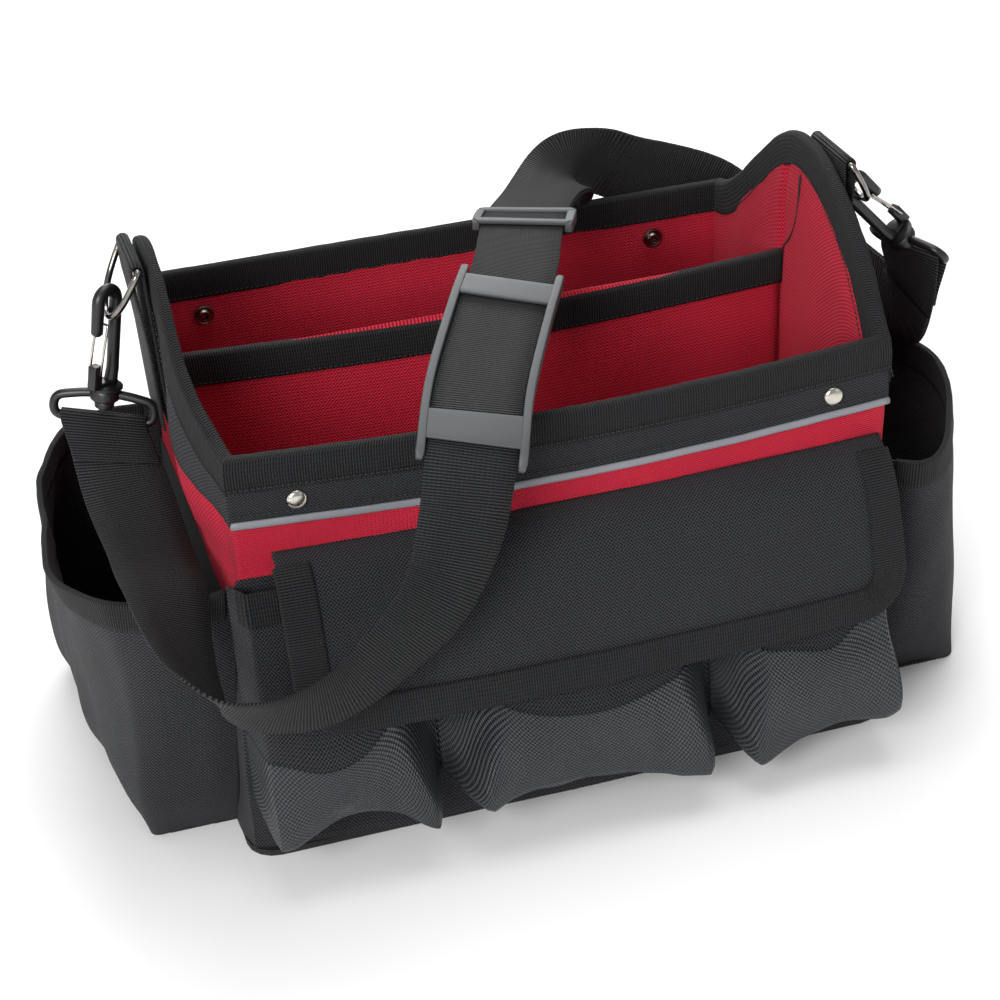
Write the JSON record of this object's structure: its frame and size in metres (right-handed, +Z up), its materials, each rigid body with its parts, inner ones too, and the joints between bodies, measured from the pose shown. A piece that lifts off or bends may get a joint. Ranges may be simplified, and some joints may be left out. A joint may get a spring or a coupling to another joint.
{
  "type": "open top tool tote",
  "caption": "Open-topped fabric tool tote with gabled ends, a lengthwise divider, front pouches under a flap, end pockets and a clip-on shoulder strap with a pad.",
  "frame": {"origin": "middle of the underside of the base, on the ground", "axes": "+Z up, +X to the right along the length, the pouches and the flap face -Y"},
  "size_m": [0.599, 0.4115, 0.344],
  "materials": {
    "red_oxford": "red oxford polyester over thin padding",
    "red_lining": "darker red woven lining",
    "black_oxford": "black oxford polyester with a visible weave",
    "black_tape": "black ribbed binding tape",
    "black_webbing": "black cross-ribbed webbing",
    "coated_cloth": "dark grey coated cloth with a dotted face",
    "reflective_piping": "grey reflective tape",
    "black_plastic": "moulded black",
    "grey_plastic": "moulded dark grey",
    "nickel": "bright nickel plate",
    "gunmetal": "dark plated steel"
  },
  "bodies": {
    "tote": {"base": "black_oxford", "front_wall": "red_oxford", "back_wall": "red_oxford", "left_end_wall": "red_oxford", "right_end_wall": "red_oxford", "lining": "red_lining", "top_band": "black_oxford", "rim_binding": "black_tape", "reflective_piping": "reflective_piping", "divider": "red_lining", "divider_binding": "black_tape", "front_pouch_left": "coated_cloth", "front_pouch_middle": "coated_cloth", "front_pouch_right": "coated_cloth", "pouch_binding_left": "black_tape", "pouch_binding_middle": "black_tape", "pouch_binding_right": "black_tape", "front_flap": "black_oxford", "flap_binding": "black_tape", "left_pocket": "black_oxford", "right_pocket": "black_oxford", "left_pocket_binding": "black_tape", "right_pocket_binding": "black_tape", "left_tab": "black_webbing", "right_tab": "black_webbing", "left_ring": "nickel", "right_ring": "nickel", "left_loop": "black_plastic", "right_loop": "black_plastic", "shoulder_strap": "black_webbing", "shoulder_pad": "grey_plastic", "slider": "grey_plastic", "front_stud_left": "nickel", "front_stud_right": "nickel", "back_snap_left": "gunmetal", "back_snap_right": "gunmetal"},
    "left_hook": {"left_hook": "black_plastic"},
    "left_gate": {"left_gate": "nickel"},
    "right_hook": {"right_hook": "black_plastic"},
    "right_gate": {"right_gate": "nickel"}
  },
  "joints": [
    {"name": "left_hook_swivel", "type": "hinge", "parent": "tote", "child": "left_hook", "pos_m": [-0.24714, -0.008, 0.25896], "axis": [0.1701, 0, 0.9854], "range_deg": [-70, 4]},
    {"name": "left_gate_hinge", "type": "hinge", "parent": "left_hook", "child": "left_gate", "pos_m": [-0.25226, -0.01342, 0.27151], "axis": [-0.593, 0.7986, 0.1024], "range_deg": [0, 11], "stiffness_Nm_per_rad": 0.02, "springref_deg": -11.46},
    {"name": "right_hook_swivel", "type": "hinge", "parent": "tote", "child": "right_hook", "pos_m": [0.26284, -0.01537, 0.27231], "axis": [-0.662, -0.2006, 0.7222], "range_deg": [-44, 14]},
    {"name": "right_gate_hinge", "type": "hinge", "parent": "right_hook", "child": "right_gate", "pos_m": [0.26134, -0.01546, 0.28683], "axis": [0.3168, -0.9481, 0.027], "range_deg": [0, 11], "stiffness_Nm_per_rad": 0.02, "springref_deg": -11.46}
  ]
}
